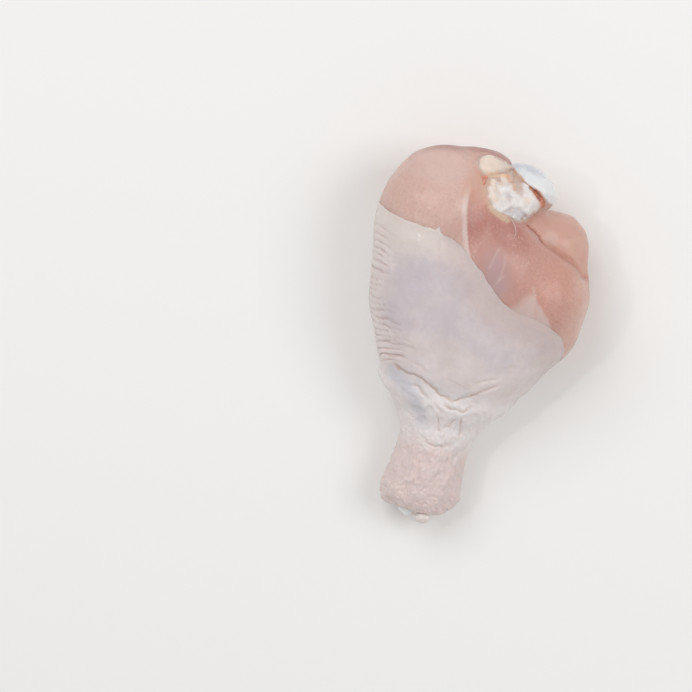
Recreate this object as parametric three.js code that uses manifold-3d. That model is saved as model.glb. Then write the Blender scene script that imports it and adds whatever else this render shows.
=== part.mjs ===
// A raw chicken drumstick, lying on its side: meat round a shank bone, a sleeve of skin that ends
// in a slanted cut, and the cartilage and fat of the opened knee joint.
// Millimetres. +Y runs from the ankle to the knee, +X is the shin side, +Z is up.
import * as THREE from "three";
import { ImprovedNoise } from "three/addons/math/ImprovedNoise.js";
import { mergeVertices } from "three/addons/utils/BufferGeometryUtils.js";
import Module from "manifold-3d";

const wasm = await Module();
wasm.setup();
const noise = new ImprovedNoise();

// Driving dimensions of the whole leg
const boneLength = 124.4; // cartilage to cartilage
const kneeAxisHeight = 25; // bone axis over the table at the thick end
const ankleAxisHeight = 8; // and at the ankle, which lies lower
const skinThickness = 1.2;
const thinnest = 0.6; // in the bottom of a fold
const clearance = 0.4; // air between two neighbouring solids

// The layers: distance off the meat's own surface, and the height of the flat spot it rests with
const meatLayer = { offset: 0, floor: 1.9 };
const skinInside = { offset: clearance, floor: 1 };
const skinOutside = { offset: clearance + skinThickness, floor: 0 };

// Where the bone axis runs over the table
const axisHeight = (y) =>
  THREE.MathUtils.mapLinear(y, 0, boneLength, ankleAxisHeight, kneeAxisHeight);

// Muscles as chains of balls: place beside the axis, along it and over it, then the ball's radius
const muscles = {
  calf: [
    [-2, 33, 0, 8],
    [-10, 51, 0.5, 13.4],
    [-15.2, 72, 1, 18],
    [-18.6, 100.9, 0.8, 20.9],
  ],
  deepCalf: [
    [0, 40, -1, 9.5],
    [-4, 72, -4, 17],
    [-9.4, 109.2, -5, 16.8],
  ],
  core: [
    [0.5, 46, 0, 12],
    [-0.5, 64, 1, 17.8],
    [-1, 90, 0.5, 19.4],
    [1.5, 103, -4, 14],
  ],
  shin: [
    [2, 33, 0, 8],
    [8, 51, 0.5, 12.8],
    [17.8, 75.5, 0.6, 18.2],
    [17.2, 84, 1.2, 19],
    [1, 98, 4.5, 13.6],
  ],
  sideLobe: [
    [21.5, 84, -5, 13],
    [20.3, 100.5, -6.5, 12.2],
  ],
  ankle: [
    [0, 40, 0, 9],
    [0.2, 29, 0, 8.4],
    [0, 17, 0, 8.2],
  ],
  ankleLeft: [
    [-1.4, 20, 0, 7.8],
    [-3.9, 10.5, 0, 7.9],
    [-2.8, 5, 0, 7.6],
  ],
  ankleRight: [
    [1.4, 20, 0, 7.8],
    [4.1, 12, 0.4, 7.7],
    [2.8, 5, 0, 7.4],
  ],
};
const ballBlend = 2; // width of the soft valley between two stretches of one muscle
const muscleBlend = 5; // and between two muscles
const ankleCut = 3.2; // the meat ends here, in a straight cut
const cutRounding = 3;

// Grooves pressed into the meat: two ends of the line, its reach to each side and its depth
const grooves = [
  { from: [-9.5, 113, 20], to: [-9.5, 90, 21], reach: 4, depth: 1.4 }, // calf and shin muscle
  { from: [8, 107, 11], to: [34, 94.5, 4], reach: 3, depth: 2.6 }, // shin muscle and side lobe
];

// Uneven swellings of the flesh: height and width
const swelling = { rise: 0.9, size: 17 };

// Folds of the skin round the neck: height along the leg on top, reach and how far they stand out.
// They hang lowest on top and run higher up on both flanks.
const folds = [
  { y: 48.5, reach: 3.6, rise: 0.8 },
  { y: 42.8, reach: 1.7, rise: -0.6 },
  { y: 38.4, reach: 2.4, rise: 0.7 },
  { y: 33, reach: 2.2, rise: -0.4 },
];
const foldSag = 5.4;
const foldFading = 0.4; // share of their depth that they lose on the underside
const foldWaves = { count: 3, share: 0.3 }; // and how unevenly they lose it on the way round
const foldZone = [24, 54]; // heights between which the skin's rows follow the folds

// Height of the skin's cut edge, every 30 degrees from the shin side over the top
const skinEdge = [63, 73.5, 77.2, 86.5, 93.2, 95, 99, 100, 101, 98, 86, 68];
const edgeThinning = 0.5; // the skin is thinner at the cut
const ankleMouth = -0.5; // the skin closes over the cut end as far as this row, more or less
const mouthWaves = { count: 3, rise: 0.05, start: 1 };

// The middle line that every ray starts from
const spineEnds = [
  [0, 13],
  [-2.5, 86],
];
const spine = spineEnds.map(([x, y]) => new THREE.Vector3(x, y, axisHeight(y)));
const rayLength = 60;
const halvings = 32; // steps of every search along a ray
const rowHalvings = 24; // and of the search for a row
const mergeDistance = 1e-4;
const columns = 46;
const topCrowding = 0.3; // columns stand closer together on the upper side
const ankleRows = 4;
const neckRows = 21;
const kneeRows = 11;
const skinRows = { ankle: 6, folds: 15, upper: 9 };

// The shank bone
const bone = {
  ankle: [0, 0.2],
  bend: [-5.5, 80],
  knee: [8.6, boneLength],
  shaft: [4.4, 4.2], // half width and half thickness
  ankleEnd: [6.6, 5.6],
  kneeEnd: [11.4, 9.8],
  ankleFlare: 17,
  kneeFlare: 30,
  ankleRound: 6,
  kneeRound: 8.5,
  columns: 20,
  rows: 22,
};

// Lumps of the knee and ankle: balls that melt together, placed as the muscles are, and the middle
// point that their surface is seen from
const kneeCartilage = {
  middle: [2, 111.2, 8.4],
  balls: [
    [-5.8, 115.2, 7.8, 2.1],
    [-4.6, 111.6, 9.2, 2.4],
    [0.2, 111.8, 8.8, 4.2],
    [0.4, 108.2, 9.4, 3.6],
    [5.2, 110.2, 9, 4.1],
    [4, 107.2, 9.5, 3],
    [4.4, 114.8, 8.3, 3.2],
    [8.8, 112.8, 7.7, 3.3],
  ],
  columns: 24,
  rows: 14,
};
const kneeFat = {
  middle: [-7, 119.8, 6],
  balls: [
    [-8.6, 118.6, 7.4, 2.9],
    [-8.6, 120.8, 5.6, 2.8],
    [-5, 120.6, 5.8, 2],
    [-2, 121.4, 5.6, 1.5],
  ],
  columns: 18,
  rows: 9,
};
const ankleTendon = {
  middle: [3.4, 1.6, 5.4],
  balls: [
    [2.4, 1.4, 5.6, 1.7],
    [4.6, 2, 4.8, 1.5],
  ],
  columns: 12,
  rows: 7,
};
const lumpBlend = 3;

// Smooth minimum: joins two distances with a soft valley
function softMin(a, b, width) {
  const closeness = Math.max(width - Math.abs(a - b), 0) / width;
  return Math.min(a, b) - (closeness * closeness * width) / 4;
}

const softMax = (a, b, width) => -softMin(-a, -b, width);

// Distance from a point to a segment, and how far along the segment it is nearest
function toSegment(point, from, to) {
  const along = new THREE.Vector3().subVectors(to, from);
  const share = THREE.MathUtils.clamp(
    new THREE.Vector3().subVectors(point, from).dot(along) / along.lengthSq(),
    0,
    1,
  );
  return { share, distance: along.multiplyScalar(share).add(from).distanceTo(point) };
}

// Balls and grooves in space
const overAxis = ([x, y, lift]) => new THREE.Vector3(x, y, axisHeight(y) + lift);
const ballsOf = (list) => list.map((ball) => ({ at: overAxis(ball), radius: ball[3] }));
const chains = Object.values(muscles).map(ballsOf);
const grooveLines = grooves.map((groove) => ({
  ...groove,
  from: overAxis(groove.from),
  to: overAxis(groove.to),
}));

function chainDistance(point, chain) {
  let nearest = rayLength;
  for (let i = 1; i < chain.length; i++) {
    const { share, distance } = toSegment(point, chain[i - 1].at, chain[i].at);
    const radius = THREE.MathUtils.lerp(chain[i - 1].radius, chain[i].radius, share);
    nearest = softMin(nearest, distance - radius, ballBlend);
  }
  return nearest;
}

// Distance to the meat's surface: muscles, less their grooves, cut straight at the ankle
function toMeat(point) {
  const distances = chains.map((chain) => chainDistance(point, chain));
  let distance = distances.reduce((a, b) => softMin(a, b, muscleBlend));
  for (const groove of grooveLines) {
    const away = toSegment(point, groove.from, groove.to).distance / groove.reach;
    distance += groove.depth * Math.exp(-away * away);
  }
  const { x, y, z } = point.clone().divideScalar(swelling.size);
  distance -= swelling.rise * noise.noise(x, y, z);
  return softMax(distance, ankleCut - point.y, cutRounding);
}

// A ray of the body grid. Row -1 to 0 fans round the ankle end of the spine, 0 to 1 runs along it,
// and 1 to 2 fans round the knee end. Angle 0 is the shin side and a quarter turn is the top.
function bodyRay(row, angle) {
  const axis = new THREE.Vector3().subVectors(spine[1], spine[0]).normalize();
  const side = new THREE.Vector3(axis.y, -axis.x, 0).normalize();
  const up = new THREE.Vector3().crossVectors(side, axis);
  const lean = ((Math.min(row, 0) + Math.max(row - 1, 0)) * Math.PI) / 2;
  const from = new THREE.Vector3().lerpVectors(spine[0], spine[1], THREE.MathUtils.clamp(row, 0, 1));
  const direction = side
    .multiplyScalar(Math.cos(angle))
    .addScaledVector(up, Math.sin(angle))
    .multiplyScalar(Math.cos(lean))
    .addScaledVector(axis, Math.sin(lean));
  return new THREE.Ray(from, direction);
}

// The last point of a ray that is still inside
function surfaceAlong(ray, isInside) {
  const point = new THREE.Vector3();
  let inside = 0;
  let outside = rayLength;
  for (let step = 0; step < halvings; step++) {
    const middle = (inside + outside) / 2;
    if (isInside(ray.at(middle, point))) inside = middle;
    else outside = middle;
  }
  return ray.at(inside, point);
}

// The point of a ray that lies a layer's distance off the meat, or on its flat spot underneath
function onBody(row, angle, layer, rise = 0) {
  return surfaceAlong(
    bodyRay(row, angle),
    (point) => point.z > layer.floor && toMeat(point) < layer.offset + rise,
  );
}

// Columns run once round the leg, closer together on top
function columnAngle(column) {
  const turn = (2 * Math.PI * column) / columns;
  return turn + topCrowding * Math.cos(turn);
}

// Rings of points, each a closed loop, joined into one surface. Ends close in a point (caps) or the
// last ring joins the first one.
function loft(rings, caps) {
  const perRing = rings[0].length;
  const points = rings.flat();
  const faces = [];
  const quad = (a, b, c, d) => faces.push(a, c, b, a, d, c);
  const last = caps ? rings.length - 1 : rings.length;
  for (let i = 0; i < last; i++) {
    const next = (i + 1) % rings.length;
    for (let j = 0; j < perRing; j++) {
      const k = (j + 1) % perRing;
      quad(i * perRing + j, i * perRing + k, next * perRing + k, next * perRing + j);
    }
  }
  if (caps) {
    const [first, end] = caps;
    const a = points.push(first) - 1;
    const b = points.push(end) - 1;
    const top = (rings.length - 1) * perRing;
    for (let j = 0; j < perRing; j++) {
      const k = (j + 1) % perRing;
      faces.push(a, j, k, b, top + k, top + j);
    }
  }
  const geometry = new THREE.BufferGeometry().setFromPoints(points);
  geometry.setIndex(faces);
  return geometry;
}

function toSolid(geometry) {
  const merged = mergeVertices(geometry, mergeDistance);
  return new wasm.Manifold(
    new wasm.Mesh({
      numProp: 3,
      vertProperties: merged.attributes.position.array,
      triVerts: new Uint32Array(merged.index.array),
    }),
  );
}

function toGeometry(solid) {
  const { vertProperties, triVerts } = solid.getMesh();
  const geometry = new THREE.BufferGeometry();
  geometry.setAttribute("position", new THREE.BufferAttribute(new Float32Array(vertProperties), 3));
  geometry.setIndex(new THREE.BufferAttribute(new Uint32Array(triVerts), 1));
  return geometry;
}

const range = (count, at) => Array.from({ length: count }, (_, i) => at(i));

// The meat, whole: the bone and the joint are cut out of it below
function meatBody() {
  const rows = [
    ...range(ankleRows - 1, (i) => (i + 1) / ankleRows - 1),
    ...range(neckRows, (i) => i / (neckRows - 1)),
    ...range(kneeRows - 1, (i) => 1 + (i + 1) / kneeRows),
  ];
  const rings = rows.map((row) => range(columns, (j) => onBody(row, columnAngle(j), meatLayer)));
  return loft(rings, [onBody(-1, 0, meatLayer), onBody(2, 0, meatLayer)]);
}

// Height of the cut edge at an angle, eased between its twelve values
function skinEdgeHeight(angle) {
  const place = (THREE.MathUtils.euclideanModulo(angle, 2 * Math.PI) / (2 * Math.PI)) * skinEdge.length;
  const i = Math.floor(place);
  const at = (k) => skinEdge[THREE.MathUtils.euclideanModulo(k, skinEdge.length)];
  const [a, b, c, d] = [at(i - 1), at(i), at(i + 1), at(i + 2)];
  const t = place - i;
  return b + 0.5 * t * (c - a + t * (2 * a - 5 * b + 4 * c - d + t * (3 * (b - c) + d - a)));
}

// The row at which the body reaches a height along the leg
function rowAtHeight(height, angle) {
  let low = 0;
  let high = 2;
  for (let step = 0; step < rowHalvings; step++) {
    const middle = (low + high) / 2;
    if (onBody(middle, angle, meatLayer).y < height) low = middle;
    else high = middle;
  }
  return low;
}

const foldLift = (angle) => foldSag * (1 - Math.max(Math.sin(angle), 0));

function foldRise(point, angle) {
  const y = point.y - foldLift(angle);
  const under = (1 - Math.sin(angle)) / 2;
  const strength = 1 - foldFading * (under + foldWaves.share * Math.sin(foldWaves.count * angle));
  const rises = folds.map((fold) => fold.rise * Math.exp(-(((y - fold.y) / fold.reach) ** 2)));
  return Math.max(strength * rises.reduce((a, b) => a + b), thinnest - skinThickness);
}

// One column of skin rows: from the mouth at the ankle, through the folds, to the cut edge
function skinColumn(angle) {
  const mouth = ankleMouth + mouthWaves.rise * Math.sin(mouthWaves.count * angle + mouthWaves.start);
  const [low, high] = foldZone.map((height) => rowAtHeight(height + foldLift(angle), angle));
  const edge = rowAtHeight(skinEdgeHeight(angle), angle);
  const { lerp } = THREE.MathUtils;
  return [
    ...range(skinRows.ankle, (i) => lerp(mouth, low, i / skinRows.ankle)),
    ...range(skinRows.folds, (i) => {
      const height = lerp(foldZone[0], foldZone[1], i / skinRows.folds);
      return rowAtHeight(height + foldLift(angle), angle);
    }),
    ...range(skinRows.upper + 1, (i) => lerp(high, edge, i / skinRows.upper)),
  ];
}

// The skin: up the outside in rows, round its cut edge and back down the inside
function skinBody() {
  const grid = range(columns, (j) => skinColumn(columnAngle(j)));
  const last = grid[0].length - 1;
  const outside = range(last + 1, (i) =>
    range(columns, (j) => {
      const angle = columnAngle(j);
      const fold = foldRise(onBody(grid[j][i], angle, skinOutside), angle);
      return onBody(grid[j][i], angle, skinOutside, i === last ? fold - edgeThinning : fold);
    }),
  );
  const inFolds = (i) => i > skinRows.ankle && i < skinRows.ankle + skinRows.folds;
  const insideRows = range(last + 1, (i) => last - i).filter((i) => !inFolds(i) || i % 2 === 0);
  const inside = insideRows.map((i) =>
    range(columns, (j) => onBody(grid[j][i], columnAngle(j), skinInside)),
  );
  return loft([...outside, ...inside]);
}

// The shank bone, or the hollow it needs when grown by a clearance
function boneBody(grow) {
  const stops = [bone.ankle, bone.bend, bone.knee];
  const curve = new THREE.QuadraticBezierCurve3(...stops.map(([x, y]) => overAxis([x, y, 0])));
  const length = curve.getLength();
  const flare = (distance, reach) => THREE.MathUtils.smootherstep(1 - distance / reach, 0, 1);
  const rounding = (distance, reach) => {
    const left = THREE.MathUtils.clamp(1 - distance / reach, 0, 1);
    return Math.sqrt(1 - left * left);
  };
  const lengthened = (share) =>
    curve.getPointAt(share).addScaledVector(curve.getTangentAt(share), grow * (2 * share - 1));
  const ring = (i) => {
    const turn = (Math.PI * (i + 1)) / (bone.rows + 1);
    const share = (1 - Math.cos(turn)) / 2;
    const at = share * length;
    const blend = [flare(at, bone.ankleFlare), flare(length - at, bone.kneeFlare)];
    const end = rounding(at, bone.ankleRound) * rounding(length - at, bone.kneeRound);
    const half = bone.shaft.map((shaft, k) => {
      const flared = (bone.ankleEnd[k] - shaft) * blend[0] + (bone.kneeEnd[k] - shaft) * blend[1];
      return (shaft + flared) * end + grow;
    });
    const centre = lengthened(share);
    const tangent = curve.getTangentAt(share);
    const side = new THREE.Vector3(tangent.y, -tangent.x, 0).normalize();
    const up = new THREE.Vector3().crossVectors(side, tangent);
    return range(bone.columns, (j) => {
      const angle = (2 * Math.PI * j) / bone.columns;
      return centre
        .clone()
        .addScaledVector(side, half[0] * Math.cos(angle))
        .addScaledVector(up, half[1] * Math.sin(angle));
    });
  };
  return loft(range(bone.rows, ring), [lengthened(0), lengthened(1)]);
}

// A piece of melted balls, or the hollow it needs when grown by a clearance
function lumpBody({ middle, balls, columns: around, rows }, grow) {
  const placed = ballsOf(balls);
  const distanceTo = (point) => {
    const distances = placed.map(({ at, radius }) => point.distanceTo(at) - radius);
    return distances.reduce((a, b) => softMin(a, b, lumpBlend));
  };
  const pointAt = (lat, lon) => {
    const level = Math.cos(lat);
    const outwards = new THREE.Vector3(level * Math.cos(lon), -Math.sin(lat), level * Math.sin(lon));
    const ray = new THREE.Ray(overAxis(middle), outwards);
    return surfaceAlong(ray, (point) => distanceTo(point) < grow);
  };
  const rings = range(rows, (i) => {
    const lat = Math.PI / 2 - (Math.PI * (i + 1)) / (rows + 1);
    return range(around, (j) => pointAt(lat, (2 * Math.PI * j) / around));
  });
  return loft(rings, [pointAt(Math.PI / 2, 0), pointAt(-Math.PI / 2, 0)]);
}

const boneHollow = toSolid(boneBody(clearance));
const cartilageSolid = toSolid(lumpBody(kneeCartilage, 0)).subtract(boneHollow);
const fatSolid = toSolid(lumpBody(kneeFat, 0))
  .subtract(boneHollow)
  .subtract(toSolid(lumpBody(kneeCartilage, clearance)));
const tendonSolid = toSolid(lumpBody(ankleTendon, 0)).subtract(boneHollow);
const meatSolid = toSolid(meatBody())
  .subtract(boneHollow)
  .subtract(toSolid(lumpBody(kneeCartilage, clearance)))
  .subtract(toSolid(lumpBody(kneeFat, clearance)))
  .subtract(toSolid(lumpBody(ankleTendon, clearance)));

const drumstick = new THREE.Group();

function addPiece(name, geometry, color, roughness) {
  const material = new THREE.MeshStandardMaterial({ color, roughness, metalness: 0 });
  const mesh = new THREE.Mesh(geometry, material);
  mesh.name = name;
  drumstick.add(mesh);
}

addPiece("meat", toGeometry(meatSolid), 0xc99a8e, 0.35);
addPiece("skin", skinBody(), 0xd3c5c4, 0.45);
addPiece("shank_bone", boneBody(0), 0xdde2ea, 0.25);
addPiece("knee_cartilage", toGeometry(cartilageSolid), 0xe4dfdc, 0.3);
addPiece("knee_fat", toGeometry(fatSolid), 0xe5d2c5, 0.4);
addPiece("ankle_tendon", toGeometry(tendonSolid), 0xeae4dd, 0.35);

// The origin goes to the middle of the leg's footprint, on the table
const footprint = new THREE.Box3().setFromObject(drumstick).getCenter(new THREE.Vector3());
drumstick.position.set(-footprint.x, -footprint.y, 0);

export default drumstick;
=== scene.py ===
# Raw chicken drumstick on a pale floor, seen from above.
# Leg places are millimetres: x across from the bone, y up from the ankle's cut end, z over the floor.
import bpy, bmesh, math
import numpy as np
from mathutils import Matrix, Vector, noise
from mathutils.bvhtree import BVHTree
from mathutils.kdtree import KDTree


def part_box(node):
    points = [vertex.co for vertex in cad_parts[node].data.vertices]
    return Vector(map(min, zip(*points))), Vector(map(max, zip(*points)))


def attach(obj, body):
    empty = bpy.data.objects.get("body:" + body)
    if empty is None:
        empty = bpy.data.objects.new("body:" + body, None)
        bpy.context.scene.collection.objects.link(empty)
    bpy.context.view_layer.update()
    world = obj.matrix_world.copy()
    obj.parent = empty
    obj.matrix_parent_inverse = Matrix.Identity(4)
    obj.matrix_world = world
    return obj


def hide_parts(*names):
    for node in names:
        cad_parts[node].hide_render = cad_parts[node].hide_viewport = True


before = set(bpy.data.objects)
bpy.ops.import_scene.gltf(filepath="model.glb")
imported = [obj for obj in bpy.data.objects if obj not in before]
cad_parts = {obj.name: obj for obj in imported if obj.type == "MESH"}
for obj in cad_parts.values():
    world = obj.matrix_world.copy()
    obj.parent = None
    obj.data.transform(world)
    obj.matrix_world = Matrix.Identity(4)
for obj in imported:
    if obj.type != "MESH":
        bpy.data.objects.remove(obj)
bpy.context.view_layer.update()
mm = 0.001

# The leg's own origin, found from the bone's ankle end
boneCorner = {"left": 6.5, "end": 0.2}
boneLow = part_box("shank_bone")[0]
legOrigin = Vector((boneLow.x + boneCorner["left"] * mm, boneLow.y - boneCorner["end"] * mm, 0))


def at(x, y, z=0.0):
    return legOrigin + Vector((x, y, z)) * mm


# Modelling helpers


def copyOfNode(name):
    bm = bmesh.new()
    bm.from_mesh(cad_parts[name].data)
    bmesh.ops.remove_doubles(bm, verts=bm.verts, dist=0.002 * mm)
    return bm


def toQuads(bm):
    bmesh.ops.join_triangles(
        bm,
        faces=bm.faces,
        angle_face_threshold=math.radians(50),
        angle_shape_threshold=math.radians(110),
    )


def withModifiers(bm, *modifiers):  # each is (kind, settings), and all are applied
    mesh = bpy.data.meshes.new("draft")
    bm.to_mesh(mesh)
    draft = bpy.data.objects.new("draft", mesh)
    bpy.context.scene.collection.objects.link(draft)
    for kind, settings in modifiers:
        modifier = draft.modifiers.new(kind.lower(), kind)
        for key, value in settings.items():
            setattr(modifier, key, value)
    graph = bpy.context.evaluated_depsgraph_get()
    result = draft.evaluated_get(graph).to_mesh()
    bm.clear()
    bm.from_mesh(result)
    bpy.data.objects.remove(draft)
    bpy.data.meshes.remove(mesh)
    return bm


def smoothLevels(levels):
    return "SUBSURF", {"levels": levels, "render_levels": levels}


def remeshed(voxel, smoothing):
    return (
        ("REMESH", {"mode": "VOXEL", "voxel_size": voxel * mm}),
        ("SMOOTH", {"factor": 0.5, "iterations": smoothing}),
    )


def readPlaces(bm):  # every vertex in leg millimetres, and its normal
    bm.normal_update()
    origin = np.array(legOrigin)
    places = (np.array([v.co for v in bm.verts]) - origin) / mm
    return places, np.array([v.normal for v in bm.verts])


def moveAlong(bm, directions, heights):
    for vert, direction, height in zip(bm.verts, directions, heights):
        vert.co += Vector(direction) * float(height) * mm


def store(bm, name, values):
    layer = bm.verts.layers.float.get(name) or bm.verts.layers.float.new(name)
    for vert, value in zip(bm.verts, values):
        vert[layer] = float(value)


def paint(bm, name, values):  # a mask that a material reads
    store(bm, name, np.clip(values, 0, 1))


def soft(low, high, values):
    share = np.clip((values - low) / (high - low), 0, 1)
    return share * share * (3 - 2 * share)


def ridge(distance, width):  # 1 on the line, fading out to both sides
    return np.exp(-((distance / width) ** 2))


def fold(distance, width):  # a narrow valley with a soft roll on its upper side, 0 far away
    valley = np.exp(-((distance / width) ** 2))
    roll = np.exp(-(((distance - 2.4 * width) / (1.7 * width)) ** 2))
    return 0.45 * roll - valley


def toLine(places, line):  # distance to a line drawn on top of the leg, and the share along it
    best = np.full(len(places), np.inf)
    along = np.zeros(len(places))
    passed = 0.0
    for start, end in zip(line, line[1:]):
        a, step = np.array(start[:2], float), np.subtract(end[:2], start[:2])
        length = np.hypot(*step)
        share = np.clip((places[:, :2] - a) @ step / length**2, 0, 1)
        distance = np.linalg.norm(places[:, :2] - a - share[:, None] * step, axis=1)
        along = np.where(distance < best, passed + share * length, along)
        best = np.minimum(best, distance)
        passed += length
    return best, along / passed


def sideOf(places, line):  # millimetres to the right of a line that runs up the leg
    order = sorted(line, key=lambda point: point[1])
    return places[:, 0] - np.interp(places[:, 1], [p[1] for p in order], [p[0] for p in order])


def above(places, line):  # millimetres above a line that runs across the leg
    order = sorted(line)
    return places[:, 1] - np.interp(places[:, 0], [p[0] for p in order], [p[1] for p in order])


def patch(places, centre, reach, turn=0):  # a soft oval, 1 in the middle
    angle = math.radians(turn)
    x, y = places[:, 0] - centre[0], places[:, 1] - centre[1]
    u = (x * math.cos(angle) + y * math.sin(angle)) / reach[0]
    v = (y * math.cos(angle) - x * math.sin(angle)) / reach[1]
    return np.exp(-((u * u + v * v) ** 1.5))


def uneven(places, size, seed, octaves=2):  # smooth noise from about -1 to 1, size in millimetres
    sizes = np.array(size if np.ndim(size) else [size] * 3, float)
    spots = places / sizes + seed * 7.31
    return np.array([noise.fractal(Vector(spot), 1.0, 2.0, octaves) for spot in spots])


def joined(*meshes):
    whole = bmesh.new()
    for bm in meshes:
        part = bpy.data.meshes.new("part")
        bm.to_mesh(part)
        whole.from_mesh(part)
        bpy.data.meshes.remove(part)
    return whole


def surfaceOf(*meshes):
    return BVHTree.FromBMesh(joined(*meshes))


def standOff(bm, surface):  # how far every vertex stands off a surface, in millimetres
    heights = []
    for vert in bm.verts:
        spot, out, _, _ = surface.find_nearest(vert.co)
        heights.append((vert.co - spot).dot(out) / mm)
    return np.array(heights)


def gapTo(bm, surface):  # the distance from every vertex to a surface, in millimetres
    return np.array([surface.find_nearest(vert.co)[3] for vert in bm.verts]) / mm


def onTop(surface, x, y, lift=0.0):  # the highest point over a place, raised by lift millimetres
    hit = surface.ray_cast(at(x, y, 100), Vector((0, 0, -1)))[0]
    return hit + Vector((0, 0, lift * mm))


def smoothPath(points, steps=5):  # an even curve through a few points
    knots = [np.array(point, float) for point in (points[0], *points, points[-1])]
    spots = []
    for a, b, c, d in zip(knots, knots[1:], knots[2:], knots[3:]):
        for t in np.linspace(0, 1, steps, endpoint=False):
            spots.append(b + 0.5 * t * (c - a + t * (2 * a - 5 * b + 4 * c - d + t * (3 * (b - c) + d - a))))
    return spots + [knots[-1]]


def strand(bm, path, radii, flat=1.0, sides=8):  # a cord of changing thickness, a little flat if wanted
    sizes = np.interp(np.linspace(0, 1, len(path)), np.linspace(0, 1, len(radii)), radii) * mm
    ring = bmesh.ops.create_circle(bm, cap_ends=True, segments=sides, radius=sizes[0])["verts"]
    face = ring[0].link_faces[0]
    ahead = (path[1] - path[0]).normalized()
    bmesh.ops.scale(bm, vec=(1, flat, 1), verts=ring)
    bmesh.ops.rotate(bm, verts=ring, matrix=ahead.to_track_quat("Z", "Y").to_matrix())
    bmesh.ops.translate(bm, verts=ring, vec=path[0])
    for i in range(1, len(path)):
        face = bmesh.ops.extrude_discrete_faces(bm, faces=[face])["faces"][0]
        onward = (path[min(i + 1, len(path) - 1)] - path[i - 1]).normalized()
        turn = ahead.rotation_difference(onward).to_matrix()
        pivot = Matrix.Translation(-path[i - 1])
        tip = list(face.verts)
        bmesh.ops.rotate(bm, verts=tip, matrix=turn, space=pivot)
        bmesh.ops.scale(bm, vec=[sizes[i] / sizes[i - 1]] * 3, verts=tip, space=pivot)
        bmesh.ops.translate(bm, verts=tip, vec=path[i] - path[i - 1])
        ahead = onward


def strandsOver(surface, strands):  # cords laid on a surface, closed at both ends
    bm = bmesh.new()
    for one in strands:
        spots = smoothPath(one["along"])
        path = [onTop(surface, spot[0], spot[1], one["lift"]) for spot in spots]
        strand(bm, path, one["radii"], one.get("flat", 1.0))
    return closed(bm)


def closed(bm):
    bmesh.ops.holes_fill(bm, edges=[edge for edge in bm.edges if edge.is_boundary])
    bmesh.ops.recalc_face_normals(bm, faces=bm.faces)
    return bm


def grown(bm, distance):  # every vertex moved outwards, in millimetres
    bm.normal_update()
    for vert in bm.verts:
        vert.co += vert.normal * distance * mm
    return bm


def addWebs(bm, surface, webs):  # balls of soft tissue sunk into a surface, to close the gaps there
    for web in webs:
        spot = onTop(surface, *web["place"], -web["sunk"])
        ball = bmesh.ops.create_icosphere(bm, subdivisions=2, radius=web["radius"] * mm)["verts"]
        bmesh.ops.translate(bm, verts=ball, vec=spot)
    return bm


def filled(bm, reach, voxel, smoothing):  # lumps run together, their gaps filled softly
    return grown(withModifiers(grown(bm, reach), *remeshed(voxel, smoothing)), -reach)


def finishPiece(bm, name, slot, material, *nodes):
    bm.normal_update()
    mesh = bpy.data.meshes.new(name)
    bm.to_mesh(mesh)
    bm.free()
    mesh.shade_smooth()
    mesh.materials.append(material)
    piece = bpy.data.objects.new(name, mesh)
    bpy.context.scene.collection.objects.link(piece)
    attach(piece, "root")
    if nodes:
        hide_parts(*nodes)
    print(name, "has", len(mesh.polygons), "faces")
    return piece


# Materials


def linear(hexColour):  # sRGB hex to the linear colour that a shader takes
    values = [int(hexColour[i : i + 2], 16) / 255 for i in (1, 3, 5)]
    return [v / 12.92 if v <= 0.04045 else ((v + 0.055) / 1.055) ** 2.4 for v in values] + [1]


def addNode(tree, kind, inputs=None, **settings):
    node = tree.nodes.new("ShaderNode" + kind)
    for key, value in settings.items():
        setattr(node, key, value)
    for socket, value in (inputs or {}).items():
        if isinstance(value, bpy.types.NodeSocket):
            tree.links.new(value, node.inputs[socket])
        else:
            node.inputs[socket].default_value = value
    return node


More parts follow.
